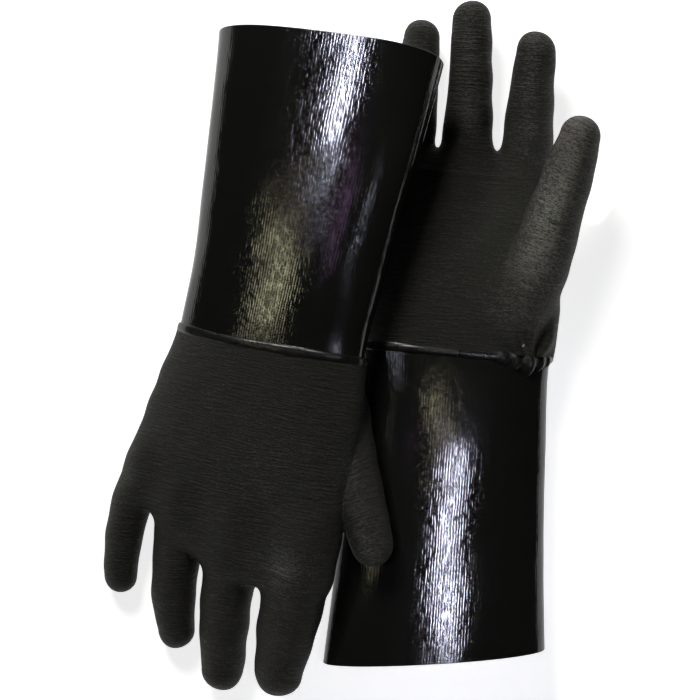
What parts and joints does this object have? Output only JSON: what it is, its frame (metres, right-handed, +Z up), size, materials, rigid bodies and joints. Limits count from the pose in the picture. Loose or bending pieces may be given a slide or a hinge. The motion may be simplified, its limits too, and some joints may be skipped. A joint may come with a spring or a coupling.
{
  "type": "coated gauntlet gloves",
  "caption": "Right-hand rubber-coated gauntlet gloves with a knit lining, one palm up and one lying across it palm down.",
  "frame": {"origin": "on the table, under the middle of the pair's bounding box", "axes": "+Z up, +Y along the gloves towards the lower glove's fingertips, +X to the right seen from above"},
  "size_m": [0.2692, 0.3736, 0.0793],
  "materials": {
    "gauntlet_rubber": "smooth glossy dipped coating with faint knit ribs",
    "hand_rubber": "matte rough dipped coating",
    "knit_lining": "plain cotton knit"
  },
  "bodies": {
    "lower_glove": {"lower_gauntlet_coat": "gauntlet_rubber", "lower_gauntlet_lining": "knit_lining", "lower_hand_coat": "hand_rubber", "lower_hand_lining_back": "knit_lining", "lower_hand_lining_palm": "knit_lining", "lower_index_knuckle": "hand_rubber", "lower_little_coat": "hand_rubber", "lower_little_lining": "knit_lining", "lower_middle_knuckle": "hand_rubber", "lower_ring_coat": "hand_rubber", "lower_ring_lining": "knit_lining", "lower_thumb_knuckle": "hand_rubber", "lower_wrist_seam": "knit_lining"},
    "lower_index": {"lower_index_coat": "hand_rubber", "lower_index_lining": "knit_lining"},
    "lower_middle": {"lower_middle_coat": "hand_rubber", "lower_middle_lining": "knit_lining"},
    "lower_thumb": {"lower_thumb_coat": "hand_rubber", "lower_thumb_lining": "knit_lining"},
    "upper_glove": {"upper_gauntlet_coat": "gauntlet_rubber", "upper_gauntlet_lining": "knit_lining", "upper_hand_coat": "hand_rubber", "upper_hand_lining_back": "knit_lining", "upper_hand_lining_palm": "knit_lining", "upper_index_knuckle": "hand_rubber", "upper_little_knuckle": "hand_rubber", "upper_middle_knuckle": "hand_rubber", "upper_ring_knuckle": "hand_rubber", "upper_thumb_knuckle": "hand_rubber", "upper_wrist_seam": "knit_lining"},
    "upper_index": {"upper_index_coat": "hand_rubber", "upper_index_lining": "knit_lining"},
    "upper_middle": {"upper_middle_coat": "hand_rubber", "upper_middle_lining": "knit_lining"},
    "upper_ring": {"upper_ring_coat": "hand_rubber", "upper_ring_lining": "knit_lining"},
    "upper_little": {"upper_little_coat": "hand_rubber", "upper_little_lining": "knit_lining"},
    "upper_thumb": {"upper_thumb_coat": "hand_rubber", "upper_thumb_lining": "knit_lining"}
  },
  "joints": [
    {"name": "upper_lift", "type": "slide", "parent": "lower_glove", "child": "upper_glove", "axis": [0, 0, 1], "range_m": [0, 0.12]},
    {"name": "lower_index_bend", "type": "hinge", "parent": "lower_glove", "child": "lower_index", "pos_m": [0.09485, 0.11719, 0.01976], "axis": [0.9988, -0.0489, 0], "range_deg": [0, 60], "deforming": ["lower_index_knuckle"]},
    {"name": "lower_middle_bend", "type": "hinge", "parent": "lower_glove", "child": "lower_middle", "pos_m": [0.06098, 0.11906, 0.01723], "axis": [0.9995, -0.0332, 0], "range_deg": [0, 70], "deforming": ["lower_middle_knuckle"]},
    {"name": "lower_thumb_bend", "type": "hinge", "parent": "lower_glove", "child": "lower_thumb", "pos_m": [0.11723, 0.08775, 0.04493], "axis": [0.9379, -0.3469, 0], "range_deg": [0, 35], "deforming": ["lower_thumb_knuckle"]},
    {"name": "upper_index_bend", "type": "hinge", "parent": "upper_glove", "child": "upper_index", "pos_m": [-0.03882, -0.14648, 0.03771], "axis": [0.9421, -0.162, 0.2935], "range_deg": [0, 65], "deforming": ["upper_index_knuckle"]},
    {"name": "upper_middle_bend", "type": "hinge", "parent": "upper_glove", "child": "upper_middle", "pos_m": [-0.06673, -0.14018, 0.02549], "axis": [0.9496, -0.1015, 0.2967], "range_deg": [0, 65], "deforming": ["upper_middle_knuckle"]},
    {"name": "upper_ring_bend", "type": "hinge", "parent": "upper_glove", "child": "upper_ring", "pos_m": [-0.09306, -0.12701, 0.01821], "axis": [0.9537, -0.0318, 0.2991], "range_deg": [0, 65], "deforming": ["upper_ring_knuckle"]},
    {"name": "upper_little_bend", "type": "hinge", "parent": "upper_glove", "child": "upper_little", "pos_m": [-0.12144, -0.10133, 0.01509], "axis": [0.9421, -0.162, 0.2935], "range_deg": [0, 70], "deforming": ["upper_little_knuckle"]},
    {"name": "upper_thumb_bend", "type": "hinge", "parent": "upper_glove", "child": "upper_thumb", "pos_m": [0.00452, -0.10051, 0.05775], "axis": [0.8969, 0.3367, 0.2867], "range_deg": [-25, 0], "deforming": ["upper_thumb_knuckle"]}
  ]
}
